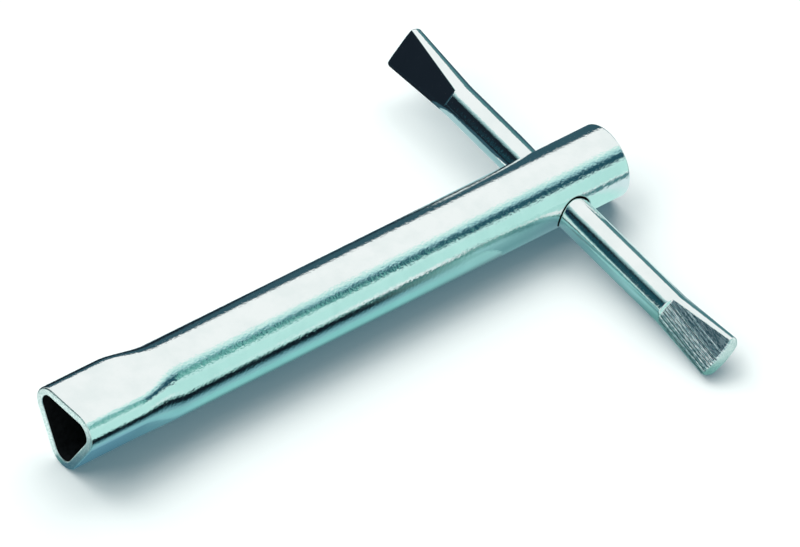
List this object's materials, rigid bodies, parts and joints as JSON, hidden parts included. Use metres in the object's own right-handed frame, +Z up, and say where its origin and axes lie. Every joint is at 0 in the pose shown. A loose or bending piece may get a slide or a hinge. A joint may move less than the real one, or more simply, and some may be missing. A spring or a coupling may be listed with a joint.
{
  "type": "triangular socket wrench",
  "caption": "Steel tube wrench with a triangular socket formed at its mouth and a sliding cross bar whose ends are pressed into flared blades.",
  "frame": {"origin": "middle of the underside of the box round the wrench as it lies on a table, so z = 0 is the table", "axes": "+X along the tube from the socket's mouth to the handle end, +Y along the bar from its ribbed blade to its plain blade, +Z up"},
  "size_m": [0.2174, 0.1616, 0.0272],
  "materials": {
    "tube_steel": "bright zinc plate on drawn tube",
    "bar_steel": "bright zinc plate on drawn rod"
  },
  "bodies": {
    "tube": {"socket_tube": "tube_steel"},
    "bar": {"cross_bar": "bar_steel"}
  },
  "joints": [
    {"name": "bar_slide", "type": "slide", "parent": "tube", "child": "bar", "axis": [-0.0004, -0.9981, -0.0618], "range_m": [-0.055, 0.0405]}
  ]
}
